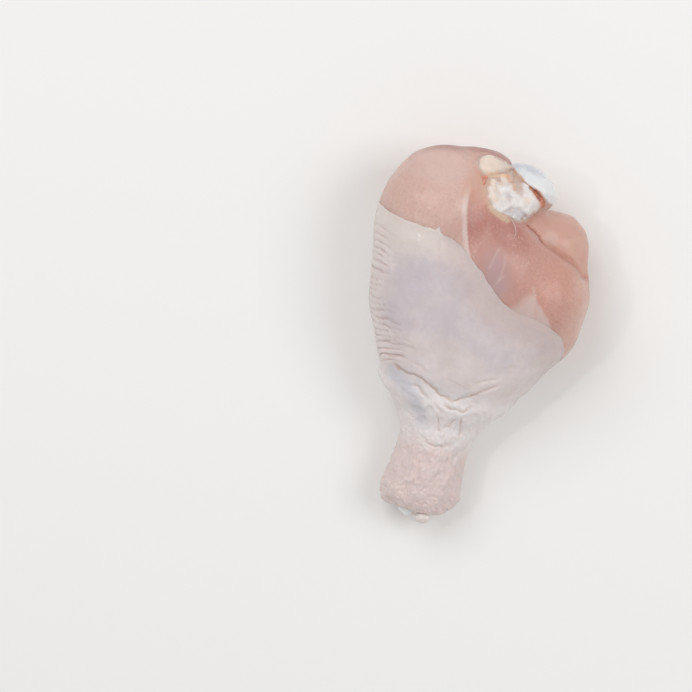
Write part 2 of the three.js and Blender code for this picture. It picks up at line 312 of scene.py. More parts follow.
# Living tissue: a base colour, clouds of other colours in it, painted tints over it, fine relief,
# light that goes a little way in, and a wet film. Clouds and relief have their sizes in millimetres.
def tissue(look):
    material = bpy.data.materials.new(look["name"])
    material.use_nodes = True
    tree = material.node_tree
    tree.nodes.clear()
    spot = addNode(tree, "TexCoord").outputs["Object"]

    def pattern(layer, seed):
        scale = [1 / (size * mm) for size in layer["size"]]
        placed = addNode(
            tree,
            "Mapping",
            {"Vector": spot, "Location": (seed * 3.7, seed * 1.9, 0), "Scale": scale},
        )
        settings = {"Vector": placed.outputs["Vector"], "Scale": 1.0}
        if layer.get("cells"):
            cells = addNode(tree, "TexVoronoi", settings, feature="SMOOTH_F1")
            return cells.outputs["Distance"]
        settings["Detail"] = layer.get("detail", 3)
        return addNode(tree, "TexNoise", settings).outputs["Fac"]

    colour = linear(look["colour"])
    for number, cloud in enumerate(look["clouds"]):
        low, high = cloud.get("between", (0.42, 0.66))
        share = addNode(
            tree,
            "MapRange",
            {"Value": pattern(cloud, number + 1), "From Min": low, "From Max": high, "To Max": cloud["amount"]},
        )
        mixed = addNode(
            tree,
            "Mix",
            {0: share.outputs["Result"], 6: colour, 7: linear(cloud["colour"])},
            data_type="RGBA",
        )
        colour = mixed.outputs[2]
    for number, tint in enumerate(look["tints"]):
        mask = addNode(tree, "Attribute", attribute_name=tint["mask"]).outputs["Fac"]
        if "ragged" in tint:
            torn = {"size": tint["ragged"], "detail": 3}
            tear = tint.get("tear", 1.0)
            wobble = addNode(
                tree,
                "Math",
                {0: pattern(torn, number + 20), 1: 2 * tear, 2: 1 - tear},
                operation="MULTIPLY_ADD",
            )
            mask = addNode(tree, "Math", {0: mask, 1: wobble.outputs[0]}, operation="MULTIPLY").outputs[0]
        low, high = tint.get("between", (0.0, 1.0))
        share = addNode(
            tree,
            "MapRange",
            {"Value": mask, "From Min": low, "From Max": high, "To Max": tint["amount"]},
            interpolation_type="SMOOTHSTEP",
        )
        mixed = addNode(
            tree,
            "Mix",
            {0: share.outputs["Result"], 6: colour, 7: linear(tint["colour"])},
            data_type="RGBA",
        )
        colour = mixed.outputs[2]

    height = 0.0
    for number, relief in enumerate(look["relief"]):
        depth = relief["depth"]
        if "mask" in relief:
            mask = addNode(tree, "Attribute", attribute_name=relief["mask"]).outputs["Fac"]
            depth = addNode(tree, "Math", {0: mask, 1: depth}, operation="MULTIPLY").outputs[0]
        layer = addNode(
            tree,
            "Math",
            {0: pattern(relief, number + 40), 1: depth, 2: height},
            operation="MULTIPLY_ADD",
        )
        height = layer.outputs[0]
    bump = addNode(tree, "Bump", {"Height": height, "Distance": mm, "Strength": 1.0})

    smooth, dull = look["roughness"]
    gloss = addNode(
        tree,
        "MapRange",
        {"Value": pattern({"size": (6, 6, 6)}, 60), "From Min": 0.35, "From Max": 0.65, "To Min": smooth, "To Max": dull},
    )
    shader = addNode(
        tree,
        "BsdfPrincipled",
        {
            "Base Color": colour,
            "Roughness": gloss.outputs["Result"],
            "IOR": 1.4,
            "Subsurface Weight": look["depth"]["weight"],
            "Subsurface Radius": look["depth"]["spread"],
            "Subsurface Scale": look["depth"]["reach"] * mm,
            "Coat Weight": look["film"]["weight"],
            "Coat Roughness": look["film"]["roughness"],
            "Coat IOR": 1.33,
            "Normal": bump.outputs["Normal"],
        },
        subsurface_method="BURLEY",
    )
    addNode(tree, "OutputMaterial", {"Surface": shader.outputs["BSDF"]})
    return material


# Camera, floor and light

view = {"centre": (-37.2, 50.0), "side": 230.7, "height": 22, "turn": 16, "lens": 150, "sensor": 36}
middle = {"x": -2, "y": 70, "z": 20}
room = {"floor": "#fbfaf8", "floorSide": 4.0, "air": "#ffffff", "airStrength": 0.5}
softboxes = [  # metres to the picture's right, up and over the leg, side of the box and watts
    {"right": -0.45, "up": 0.55, "over": 0.9, "side": 0.7, "power": 3.5},
    {"right": 0.6, "up": 0.1, "over": 0.8, "side": 0.5, "power": 2.5},
    {"right": -0.5, "up": 0.05, "over": 0.85, "side": 0.06, "power": 0.45},
]


def makeCamera():
    data = bpy.data.cameras.new("camera")
    data.lens = view["lens"]
    data.sensor_width = view["sensor"]
    data.clip_start = 0.05
    data.clip_end = 50
    camera = bpy.data.objects.new("camera", data)
    bpy.context.scene.collection.objects.link(camera)
    distance = view["lens"] * view["side"] / view["sensor"]
    camera.location = at(*view["centre"], view["height"] + distance)
    camera.rotation_euler = (0, 0, math.radians(view["turn"]))
    bpy.context.scene.camera = camera


def makeRoom():
    bm = bmesh.new()
    bmesh.ops.create_grid(bm, x_segments=1, y_segments=1, size=room["floorSide"] / 2)
    mesh = bpy.data.meshes.new("floor")
    bm.to_mesh(mesh)
    bm.free()
    floor = bpy.data.objects.new("floor", mesh)
    bpy.context.scene.collection.objects.link(floor)
    material = bpy.data.materials.new("mattePaper")
    material.use_nodes = True
    material.node_tree.nodes["Principled BSDF"].inputs["Base Color"].default_value = linear(room["floor"])
    material.node_tree.nodes["Principled BSDF"].inputs["Roughness"].default_value = 0.9
    mesh.materials.append(material)
    world = bpy.data.worlds.new("air")
    world.use_nodes = True
    world.node_tree.nodes["Background"].inputs["Color"].default_value = linear(room["air"])
    world.node_tree.nodes["Background"].inputs["Strength"].default_value = room["airStrength"]
    bpy.context.scene.world = world
    turn = Matrix.Rotation(math.radians(view["turn"]), 3, "Z")
    target = at(middle["x"], middle["y"], middle["z"])
    for number, box in enumerate(softboxes):
        lamp = bpy.data.lights.new(f"softbox{number}", "AREA")
        lamp.shape = "SQUARE"
        lamp.size = box["side"]
        lamp.energy = box["power"]
        holder = bpy.data.objects.new(f"softbox{number}", lamp)
        bpy.context.scene.collection.objects.link(holder)
        holder.location = target + turn @ Vector((box["right"], box["up"], box["over"]))
        aim = (target - holder.location).to_track_quat("-Z", "Y")
        holder.rotation_euler = aim.to_euler()
    bpy.context.scene.view_settings.view_transform = "Standard"


makeCamera()
makeRoom()
print("camera, floor and light are set")

# Meat: the leg's bared muscles

kneeStainsAndShade = {  # colours that cross from one piece of the joint to the next: stains, and painted shade deep in the crevice
    "yellowRim": {"line": [(-4.4, 107), (-2.9, 105.9), (-0.5, 104.9), (2.1, 104.1)], "width": 1.0, "colour": "#e2caab", "amount": 0.6},
    "peachRim": {"line": [(-7.6, 113.4), (-7.2, 111), (-6.2, 108.6)], "width": 1.5, "colour": "#dfb7a3", "amount": 0.7},
    "peachBand": {"line": [(-7.7, 117.1), (-4.4, 118.1), (-1.1, 118.7)], "width": 0.9, "colour": "#f0cbb0", "amount": 0.95},
    "peachStripe": {"line": [(-0.8, 118.3), (0.8, 117), (1.9, 115)], "width": 0.8, "colour": "#dfad92", "amount": 0.8},
    "tanSheet": {"line": [(0.8, 119.4), (2.3, 117.8), (3.3, 115)], "width": 1.5, "colour": "#cdb4a7", "amount": 0.95},
    "orangeSide": {"line": [(9, 115.9), (10.9, 114.6), (12.3, 113)], "width": 1.2, "colour": "#d07e5c", "amount": 1.0},
    "crevice": {"line": [(6.7, 116.8), (8.5, 115.8), (10.4, 114.3)], "width": 0.6, "colour": "#b96a4b", "amount": 0.9},
    # painted shade: the crevice's deepest part, dark red
    "creviceCore": {"line": [(10.1, 114.6), (10.9, 113.8)], "width": 0.5, "colour": "#96412f", "amount": 0.85},
}
stainAndShadeTints = [
    {"mask": name, "colour": mark["colour"], "amount": mark["amount"], "ragged": (1.4, 1.4, 1.4), "tear": 1.2}
    for name, mark in kneeStainsAndShade.items()
]
meat = {
    "voxel": 0.62,
    "smoothing": 26,
    "swell": 0.35,
    "sunk": 0.4,
    "boneSunk": 0.6,
    "webs": [{"place": (12.4, 110.2), "radius": 3.0, "sunk": 2.4}, {"place": (9.6, 107.6), "radius": 2.6, "sunk": 2.0}],
    "rim": {"centre": (-4, 123.5), "reach": (5, 3), "height": 0.8},
    "calfTop": {"centre": (-27.5, 119), "reach": (10, 6.5), "turn": 38, "height": 1.9},
    "silverskin": [(-12.3, 109.4), (-12.1, 105.6), (-11.2, 101.6), (-10.1, 98.1), (-9, 95.1), (-7.7, 91.6), (-6, 88.6)],
    "crease": [(8.2, 105.4), (10.4, 104.2), (12.6, 103.4), (13.8, 102.5), (15.4, 100.7), (19, 99.5), (22.5, 98.2), (26.7, 97), (31.8, 93.4)],
    "streaks": [[(2, 94.2), (1.5, 91.4), (1.1, 87.5)], [(4.8, 92.4), (5.4, 88.8), (4.8, 84.5)], [(6.2, 86.4), (3.8, 82)]],
    "veilLeft": [(16.3, 85.4), (10, 75.5)],
    "veilRight": [(16.3, 85.4), (18.4, 81.4), (21.1, 78.9), (23.7, 76.7), (27.6, 71.5)],
}
meatLook = {
    # Raw leg muscle, skinned and rinsed: translucent pink that goes from peach to mauve with the depth of
    # blood in it, under a thin film of silverskin and water
    "name": "rawMuscle",
    "colour": "#dcb7ab",
    "clouds": [
        {"size": (17, 24, 17), "colour": "#cda397", "amount": 0.75},
        {"size": (5, 8, 5), "colour": "#dfc0b4", "amount": 0.4},
        {"size": (1.3, 1.5, 1.3), "colour": "#c1897e", "amount": 0.22, "detail": 4},
        {"size": (0.6, 0.6, 0.6), "colour": "#e6c8bc", "amount": 0.25, "detail": 2},
        {"size": (0.5, 0.5, 0.5), "colour": "#bd877c", "amount": 0.18, "between": (0.5, 0.7)},
    ],
    "tints": [
        # painted shade: the steep sides of the muscle, turned from the light, are darkened
        {"mask": "flank", "colour": "#cba499", "amount": 0.6, "ragged": (9, 9, 9)},
        # painted highlight on the top of the calf
        {"mask": "calfHighlight", "colour": "#e0c3ba", "amount": 0.6, "ragged": (6, 9, 6)},
        {"mask": "flank", "colour": "#dac0b6", "amount": 0.35, "between": (1.02, 1.4), "ragged": (2.2, 15, 2.2)},
        # painted shade: the calf's rim where it turns away, darker red
        {"mask": "shadedRim", "colour": "#ad7871", "amount": 0.9, "ragged": (9, 9, 9), "tear": 0.5},
        {"mask": "shin", "colour": "#c69489", "amount": 0.9, "ragged": (6, 8, 6), "tear": 0.6},
        {"mask": "deepPink", "colour": "#b67a70", "amount": 0.75, "ragged": (3, 3, 3)},
        {"mask": "salmon", "colour": "#d29d8c", "amount": 0.75, "ragged": (5, 5, 5), "tear": 0.6},
        {"mask": "mauve", "colour": "#c09593", "amount": 0.2, "ragged": (6, 6, 6), "tear": 0.6},
        {"mask": "violet", "colour": "#bda0a2", "amount": 0.7, "ragged": (4, 6, 4)},
        {"mask": "lobe", "colour": "#d5a898", "amount": 0.85, "ragged": (3, 3, 3), "tear": 0.6},
        {"mask": "lobePale", "colour": "#dab9ae", "amount": 0.7, "ragged": (2, 2, 2)},
        {"mask": "lobeTan", "colour": "#ddb5a2", "amount": 0.55, "ragged": (3, 3, 3)},
        {"mask": "warm", "colour": "#d9a591", "amount": 0.55, "ragged": (4, 4, 4)},
        # the cut end's pinker colour, lifted lighter as painted light against the shade it sits in
        {"mask": "ankleEnd", "colour": "#ecccc3", "amount": 0.9, "ragged": (2, 2, 2), "tear": 0.6},
        # painted light on the rim along the leg's right side
        {"mask": "litRightRim", "colour": "#e2bdae", "amount": 0.6, "ragged": (5, 5, 5), "tear": 0.8},
        {"mask": "veil", "colour": "#d5bcb5", "amount": 0.9, "ragged": (2, 6, 2), "tear": 0.7},
        {"mask": "silverskin", "colour": "#e2cdc4", "amount": 0.8, "ragged": (1.5, 6, 1.5), "tear": 0.7},
        {"mask": "whiteRim", "colour": "#dcc4b6", "amount": 0.6, "ragged": (1.4, 1.4, 1.4)},
        *stainAndShadeTints,
        {"mask": "foldShade", "colour": "#bb7c6b", "amount": 0.55, "ragged": (2, 2, 2)},
        # painted shade: a dark line down in the crease between the muscles
        {"mask": "crease", "colour": "#9c5646", "amount": 0.8, "ragged": (1, 1, 1)},
        {"mask": "grain", "colour": "#dfb8aa", "amount": 0.3, "between": (1.0, 1.4), "ragged": (0.8, 0.9, 0.8)},
        {"mask": "grain", "colour": "#a87066", "amount": 0.2, "between": (1.0, 1.4), "ragged": (0.7, 0.8, 0.7)},
    ],
    "relief": [
        {"size": (0.7, 0.8, 0.7), "depth": 0.05, "detail": 3},
        {"size": (6, 9, 6), "depth": 0.4, "detail": 2},
    ],
    "roughness": (0.3, 0.46),
    "depth": {"weight": 0.5, "spread": (1.0, 0.45, 0.32), "reach": 2.8},
    "film": {"weight": 0.3, "roughness": 0.12},
}


def inVeil(places):  # the triangle of thin white tissue: crisp on its right side, soft on its left
    right, left = -sideOf(places, meat["veilRight"]), sideOf(places, meat["veilLeft"])
    return soft(-0.3, 0.8, right) * soft(-1.5, 3.5, left) * soft(86, 81, places[:, 1])


def makeMeat():  # the muscles, drawn up softly round the lumps of the joint
    lumps = [grown(mesh.copy(), -meat["sunk"]) for mesh in (capsuleMesh, fatMesh)]
    lumps.append(grown(boneMesh.copy(), -meat["boneSunk"]))
    whole = addWebs(joined(copyOfNode("meat"), *lumps), surfaceOf(boneMesh), meat["webs"])
    bm = withModifiers(whole, *remeshed(meat["voxel"], meat["smoothing"]))
    places, normals = readPlaces(bm)
    top = soft(-0.15, 0.35, normals[:, 2])
    right = sideOf(places, meat["silverskin"])
    crease, share = toLine(places, meat["crease"])
    over = above(places, meat["crease"])
    rim, calfTop = meat["rim"], meat["calfTop"]
    apart = soft(0.3, 2.5, gapTo(bm, surfaceOf(capsuleMesh, fatMesh, boneMesh)))
    heights = (meat["swell"] + 0.14 * uneven(places, (7, 12, 7), 1)) * apart
    heights += 0.16 * ridge(right + 0.6, 1.0) * top * soft(112, 107, places[:, 1])
    creaseTop = top * soft(0, 0.06, share) * soft(8, 10, places[:, 0])
    heights -= (0.75 - 0.4 * soft(0.3, 0.5, share)) * ridge(crease, 0.5 + 0.5 * soft(0.3, 0.5, share)) * creaseTop
    heights += 0.25 * ridge(over - 1.6, 1.4) * creaseTop
    heights += rim["height"] * patch(places, rim["centre"], rim["reach"]) * soft(0.9, 0.4, normals[:, 2])
    bulge = patch(places, calfTop["centre"], calfTop["reach"], calfTop["turn"])
    heights += calfTop["height"] * bulge * soft(1, 0.55, normals[:, 2]) * soft(-0.7, -0.1, normals[:, 2])
    heights += 0.4 * uneven(places, 2.4, 45) * soft(9, 4, places[:, 1])
    heights += 0.45 * uneven(places, (11, 26, 11), 46, 1) * soft(0.5, 0, normals[:, 2]) * apart
    moveAlong(bm, normals, heights)
    return bm


def paintMeat(bm, lumps):
    places, normals = readPlaces(bm)
    top = soft(-0.15, 0.35, normals[:, 2])
    x, y = places[:, 0], places[:, 1]
    right = sideOf(places, meat["silverskin"])
    crease, share = toLine(places, meat["crease"])
    over = above(places, meat["crease"])
    veilSide = ridge(toLine(places, meat["veilRight"])[0], 0.4)
    # painted shade on the steep sides, from how far the surface turns from upward; the lighter streak tint on this mask
    # is real fibre
    paint(bm, "flank", 1 - soft(-0.1, 0.5, normals[:, 2]))
    # painted highlight on the up-facing top of the calf
    paint(bm, "calfHighlight", patch(places, (-24, 116), (11, 8)) * top)
    # painted shade on the calf's turned-away rim, chosen by the normal's tilt
    rimStart = 0.66 + 0.16 * soft(-26, -9, x + 3 * uneven(places, 5, 44))
    low = soft(-0.9, 0.1, normals[:, 2])
    shadedRim = soft(rimStart, rimStart - 0.5, normals[:, 2]) * low * soft(-42, -22, x) * soft(3, 0, x)
    paint(bm, "shadedRim", shadedRim * soft(106, 117, y))
    shin = soft(-0.1, 0.9, right) * soft(-0.5, 0.2, normals[:, 2]) * soft(115, 106, y)
    paint(bm, "shin", shin)
    deep = [patch(places, (3, 100.5), (10, 5), -30), patch(places, (-6.5, 102), (4, 8), -15)]
    paint(bm, "deepPink", np.maximum(*deep) * top)
    paint(bm, "salmon", patch(places, (26, 86), (10, 14), 20) * top)
    paint(bm, "mauve", patch(places, (27.5, 79), (5, 8), 15) * top)
    violet = patch(places, (3.5, 86), (4.5, 9), 20) * top
    paint(bm, "violet", violet)
    lobe = soft(0.2, 1.4, over) * soft(9.5, 12, x) * soft(-0.5, 0.2, normals[:, 2])
    paint(bm, "lobe", lobe)
    paint(bm, "grain", shin * (1 - 0.8 * violet) * (1 - 0.12 * lobe) * (1 - inVeil(places)))
    paint(bm, "lobePale", patch(places, (18, 103), (3.2, 2.6), -35) * top)
    paint(bm, "lobeTan", patch(places, (27.5, 103), (3.6, 3.6)) * top)
    paint(bm, "warm", patch(places, (-8, 112), (7, 8)) * top)
    # the cut end: pinker colour, made lighter as painted light against its shade
    paint(bm, "ankleEnd", soft(10, 5, y))
    # painted light: a lighter rim on the turned edges and along the leg's right side
    rimLight = np.maximum(soft(0.75, 0.15, normals[:, 2]), 0.7 * soft(25, 32, x))
    paint(bm, "litRightRim", rimLight * soft(-0.4, 0.1, normals[:, 2]) * soft(20, 28, x) * soft(100, 90, y))
    paint(bm, "veil", np.maximum(0.9 * inVeil(places), 0.8 * veilSide) * top)
    streaks = sum(ridge(toLine(places, line)[0], 0.45) for line in meat["streaks"])
    band = soft(-2.4, -0.6, right) * soft(0.45, 0.05, right) * soft(114, 104, y)
    paint(bm, "silverskin", np.maximum(band, 0.4 * streaks) * top)
    paint(bm, "whiteRim", soft(0.9, 0.1, gapTo(bm, lumps)) * top)
    start = soft(0, 0.06, share) * top
    paint(bm, "foldShade", ridge(over - 0.5, 1.6) * soft(0.25, 0.45, share) * top)
    # painted shade along the bottom of the crease
    paint(bm, "crease", ridge(crease, 0.42) * start * soft(0.42, 0.3, share))


def paintStainsAndShade(bm):
    places, normals = readPlaces(bm)
    top = soft(-0.5, 0.1, normals[:, 2])
    for name, mark in kneeStainsAndShade.items():
        paint(bm, name, 1.1 * ridge(toLine(places, mark["line"])[0], mark["width"]) * top)


# Bone head: the joint's cartilage, which shows as a smooth lip over the knee

bone = {
    "voxel": 0.42,
    "smoothing": 8,
    "groove": {"at": -0.4, "width": 1.2, "depth": 0.9},
    "edge": [(-0.4, 123), (4.7, 123.6), (8.3, 123), (12.1, 121.7), (14.8, 120.4)],
    "lip": [(-0.2, 121.6), (1.5, 120.2), (3.4, 119.1), (5.1, 117.8), (6.6, 116.8), (8.2, 116.8), (10.4, 116), (13, 114.9), (14.8, 114)],
}
boneLook = {
    # Hyaline joint cartilage over a bone end, freshly opened: dense blue-white, smooth and wet
    "name": "jointCartilage",
    "colour": "#eeeeee",
    "clouds": [
        {"size": (6, 6, 6), "colour": "#e0e2e7", "amount": 0.5},
        {"size": (2, 2, 2), "colour": "#f6f6f5", "amount": 0.35},
    ],
    "tints": [
        {"mask": "blue", "colour": "#c6cad5", "amount": 0.75, "ragged": (3, 3, 3)},
        {"mask": "shaft", "colour": "#d2b3a5", "amount": 0.9, "ragged": (2, 2, 2), "tear": 0.6},
        {"mask": "groove", "colour": "#dcc6ba", "amount": 0.6, "ragged": (1.5, 1.5, 1.5), "tear": 0.8},
        # painted shade under the lower edge of the cap
        {"mask": "underCap", "colour": "#d3bbb1", "amount": 0.8, "ragged": (2, 2, 2)},
        *stainAndShadeTints,
        # painted shade: an orange-brown line in the gap under the cap's lip
        {"mask": "lipLine", "colour": "#c08a66", "amount": 0.8, "ragged": (1.5, 1.5, 1.5), "tear": 1.4},
    ],
    "relief": [{"size": (3, 3, 3), "depth": 0.05, "detail": 1}],
    "roughness": (0.2, 0.32),
    "depth": {"weight": 0.3, "spread": (1.0, 0.85, 0.75), "reach": 1.2},
    "film": {"weight": 0.5, "roughness": 0.06},
}


def makeBone():
    bm = withModifiers(copyOfNode("shank_bone"), *remeshed(bone["voxel"], bone["smoothing"]))
    places, normals = readPlaces(bm)
    top = soft(-0.1, 0.3, normals[:, 2])
    over = above(places, bone["lip"])
    lip, lipShare = toLine(places, bone["lip"])
    crevice, _ = toLine(places, kneeStainsAndShade["crevice"]["line"])
    knee = soft(95, 105, places[:, 1])
    heights = -0.15 * knee - 0.4 * soft(0.3, -1.6, over) * top * knee
    heights -= 0.9 * ridge(crevice, 1.0) * top * soft(0.6, -0.4, over)
    heights += 0.1 * uneven(places, 6, 3, 1)
    x, y = places[:, 0], places[:, 1]
    groove = ridge(x - bone["groove"]["at"] - 0.2 * (places[:, 2] - 8), bone["groove"]["width"]) * soft(5, 1, y)
    heights += 0.5 * uneven(places, 3.4, 51, 2) * soft(12, 5, y) - bone["groove"]["depth"] * groove
    moveAlong(bm, normals, heights)
    rimBlue = ridge(toLine(places, bone["edge"])[0], 1.8) * soft(14, 6, x)
    paint(bm, "blue", np.maximum(0.7 * soft(8, 0, x), rimBlue) * knee)
    paint(bm, "shaft", np.maximum(soft(0.35, -0.5, over) * knee, soft(2.2, 4, y) * (1 - knee)))
    paint(bm, "groove", groove)
    # painted shade below the cap's lower right edge
    paint(bm, "underCap", soft(10.5, 12.5, places[:, 0]) * soft(0.3, -0.8, over) * knee)
    # painted shade along the gap under the cap's lip
    paint(bm, "lipLine", ridge(lip, 0.45) * soft(0.62, 0.5, lipShare) * top)
    paintStainsAndShade(bm)
    return bm


boneMesh = makeBone()
print("the bone is shaped")

# White capsule of the knee joint

capsule = {
    "voxel": 0.27,
    "smoothing": 14,
    "gaps": 1.1,
    "swell": 0.3,
    "webs": [
        {"place": (0.4, 117.6), "radius": 2.3, "sunk": 1.9},
        {"place": (2.6, 116.4), "radius": 2.0, "sunk": 1.7},
        {"place": (-0.3, 119.8), "radius": 1.8, "sunk": 1.5},
        {"place": (-3.2, 117.3), "radius": 2.2, "sunk": 1.7},
        {"place": (-5.5, 113.8), "radius": 2.2, "sunk": 1.6},
        {"place": (-5.3, 111.6), "radius": 2.4, "sunk": 1.7},
        {"place": (-3.4, 115.0), "radius": 2.1, "sunk": 1.15},
        {"place": (-3.4, 113.0), "radius": 2.2, "sunk": 1.15},
        {"place": (-2.9, 111.0), "radius": 2.4, "sunk": 1.7},
        {"place": (-4.4, 109.3), "radius": 2.6, "sunk": 1.8},
        {"place": (-2.2, 107.6), "radius": 2.8, "sunk": 2.0},
        {"place": (0.8, 106.4), "radius": 2.8, "sunk": 2.0},
        {"place": (3.8, 105.8), "radius": 2.8, "sunk": 2.0},
    ],
    "foot": {"line": [(-6, 112), (-4.6, 109), (-2.8, 106.8), (0.8, 105.2), (3.6, 104.6)], "width": 1.5, "height": 0.8},
    "ridges": [
        {"line": [(-5.8, 116.2), (-5.2, 113.7), (-4.7, 111), (-3.4, 109.3)], "width": 0.95, "height": 0.5},
        {"line": [(-2.4, 113.6), (0.1, 114.5), (2.7, 113.6), (3.9, 111.6), (2.2, 109.5), (-0.6, 109)], "width": 0.9, "height": 0.3},
        {"line": [(4.2, 115.5), (6.4, 114.8), (9, 113.3), (11, 112.3)], "width": 0.75, "height": 0.45},
        {"line": [(5.4, 112.8), (7.6, 110.4), (8.6, 107.8)], "width": 0.8, "height": 0.25},
    ],
    "hollows": [
        {"centre": (0.5, 111.8), "reach": (1.8, 1.1), "turn": -35, "depth": 0.5},
        {"centre": (1.6, 107.2), "reach": (1.9, 0.9), "turn": 30, "depth": 0.25},
        {"centre": (4.8, 113.4), "reach": (0.6, 1.3), "turn": 30, "depth": 0.35},
        {"centre": (6, 109.4), "reach": (1.6, 0.6), "turn": 20, "depth": 0.12},
    ],
    "step": {"line": [(-1.5, 105.8), (0.9, 107.5), (2.2, 108.9), (5.2, 109.3), (8.5, 107.9)], "drop": 0.6},
    "bump": {"centre": (4.1, 106.7), "reach": (2.9, 1.9)},
}
capsuleLook = {
    # Ligament and joint capsule cut through: knotted white collagen, satin with water on it
    "name": "cutLigament",
    "colour": "#f0ebe8",
    "clouds": [
        {"size": (4, 4, 4), "colour": "#f4f1ef", "amount": 0.5},
        {"size": (2, 2.6, 2), "colour": "#e3d4ca", "amount": 0.45},
        {"size": (1.1, 1.1, 1.1), "colour": "#d8d3d4", "amount": 0.35},
    ],
    "tints": [
        # painted shade: grey in the hollows and under the step
        {"mask": "hollow", "colour": "#bdb6b8", "amount": 0.75, "ragged": (1.5, 1.5, 1.5), "tear": 0.6},
        {"mask": "bump", "colour": "#c8c4ca", "amount": 0.75, "ragged": (2, 2, 2), "tear": 0.5},
        {"mask": "cream", "colour": "#efd8c4", "amount": 0.75, "ragged": (1.6, 1.6, 1.6)},
        {"mask": "tan", "colour": "#dcc4b6", "amount": 0.8, "ragged": (1.6, 1.6, 1.6)},
        {"mask": "seam", "colour": "#e3cfc2", "amount": 0.6, "ragged": (1.4, 1.4, 1.4)},
        *stainAndShadeTints,
    ],
    "relief": [
        {"size": (0.8, 1.6, 0.8), "depth": 0.08, "detail": 2},
        {"size": (2.0, 2.0, 2.0), "depth": 0.3, "detail": 2},
    ],
    "roughness": (0.26, 0.4),
    "depth": {"weight": 0.35, "spread": (1.0, 0.75, 0.6), "reach": 1.4},
    "film": {"weight": 0.45, "roughness": 0.07},
}


def makeCapsule():
    ground = surfaceOf(boneMesh, copyOfNode("meat"))
    lumps = addWebs(copyOfNode("knee_cartilage"), ground, capsule["webs"])
    bm = filled(lumps, capsule["gaps"], capsule["voxel"], capsule["smoothing"])
    places, normals = readPlaces(bm)
    top = soft(0, 0.4, normals[:, 2])
    sunk = [patch(places, spot["centre"], spot["reach"], spot["turn"]) * spot["depth"] for spot in capsule["hollows"]]
    raised = [ridge(toLine(places, cord["line"])[0], cord["width"]) * cord["height"] for cord in capsule["ridges"]]
    bump = patch(places, **capsule["bump"])
    foot = ridge(toLine(places, capsule["foot"]["line"])[0], capsule["foot"]["width"]) * capsule["foot"]["height"]
    foot *= 0.15 + 0.85 * soft(0.95, 0.5, normals[:, 2])
    foot *= 1 - 0.6 * soft(-1.5, 1, places[:, 0])
    under = -above(places, capsule["step"]["line"])
    stepped = soft(-0.7, 0.9, under) * soft(-1, 1, places[:, 0]) * soft(9.5, 7.5, places[:, 0])
    inset = ridge(toLine(places, kneeStainsAndShade["tanSheet"]["line"])[0], 1.3)
    drop = sum(sunk) + capsule["step"]["drop"] * stepped + 0.45 * inset
    heights = capsule["swell"] + foot + (np.max(raised, axis=0) - drop + 0.3 * bump) * top
    moveAlong(bm, normals, heights + 0.2 * uneven(places, 2.6, 5, 2))
    shade = 0.95 * ridge(under - 0.6, 0.9) * stepped
    # painted shade in the hollows and under the step
    paint(bm, "hollow", (1.5 * sum(sunk) + shade) * top)
    paint(bm, "bump", bump * top)
    cream = [patch(places, (6.6, 112.3), (1.5, 1.3)), patch(places, (-3, 115.4), (1.4, 1.3))]
    column = ridge(toLine(places, capsule["ridges"][0]["line"])[0], 1.2)
    paint(bm, "cream", np.maximum(cream[0] + cream[1], column) * top)
    paint(bm, "tan", patch(places, (9.8, 107.4), (1.2, 2.4)))
    return bm


capsuleMesh = makeCapsule()
print("the joint capsule is shaped")

# Pad of fat at the knee's upper edge

fatPad = {
    "voxel": 0.25,
    "smoothing": 8,
    "gaps": 0.8,
    "swell": 0.25,
    "full": {"centre": (-9.3, 118), "reach": (2.6, 2.8)},
}
fatLook = {
    # Raw poultry fat: cream, soft and slightly lobed, with a dull wet sheen
    "name": "rawFat",
    "colour": "#eddccd",
    "clouds": [
        {"size": (3, 3, 3), "colour": "#f2e6da", "amount": 0.6},
        {"size": (1.6, 1.6, 1.6), "colour": "#e8cfbb", "amount": 0.35},
    ],
    "tints": [
        {"mask": "arm", "colour": "#dccbc2", "amount": 0.75, "ragged": (1.5, 1.5, 1.5)},
        {"mask": "seam", "colour": "#e0c8b8", "amount": 0.6, "ragged": (1.4, 1.4, 1.4)},
        *stainAndShadeTints,
    ],
    "relief": [
        {"size": (2, 2, 2), "depth": 0.15, "cells": True},
        {"size": (0.6, 0.6, 0.6), "depth": 0.04, "detail": 2},
    ],
    "roughness": (0.34, 0.5),
    "depth": {"weight": 0.4, "spread": (1.0, 0.7, 0.45), "reach": 1.8},
    "film": {"weight": 0.3, "roughness": 0.12},
}


def makeFatPad():
    bm = filled(copyOfNode("knee_fat"), fatPad["gaps"], fatPad["voxel"], fatPad["smoothing"])
    places, normals = readPlaces(bm)
    slim = soft(-6.5, -3.5, places[:, 0])
    full = patch(places, **fatPad["full"])
    moveAlong(bm, normals, fatPad["swell"] + 0.8 * full - 0.1 * slim + 0.2 * uneven(places, 3, 8, 2))
    paint(bm, "arm", slim)
    return bm


fatMesh = makeFatPad()
meatMesh = makeMeat()
meatSurface = surfaceOf(meatMesh)
paintMeat(meatMesh, surfaceOf(capsuleMesh, fatMesh))
for mesh in (capsuleMesh, fatMesh):
    paint(mesh, "seam", soft(0.4, 0.0, standOff(mesh, meatSurface)))
for mesh in (meatMesh, capsuleMesh, fatMesh):
    paintStainsAndShade(mesh)
kneeSurface = surfaceOf(meatMesh, boneMesh, capsuleMesh, fatMesh)
print("the fat pad and the meat are shaped")

# A nerve and a cut vessel beside the joint

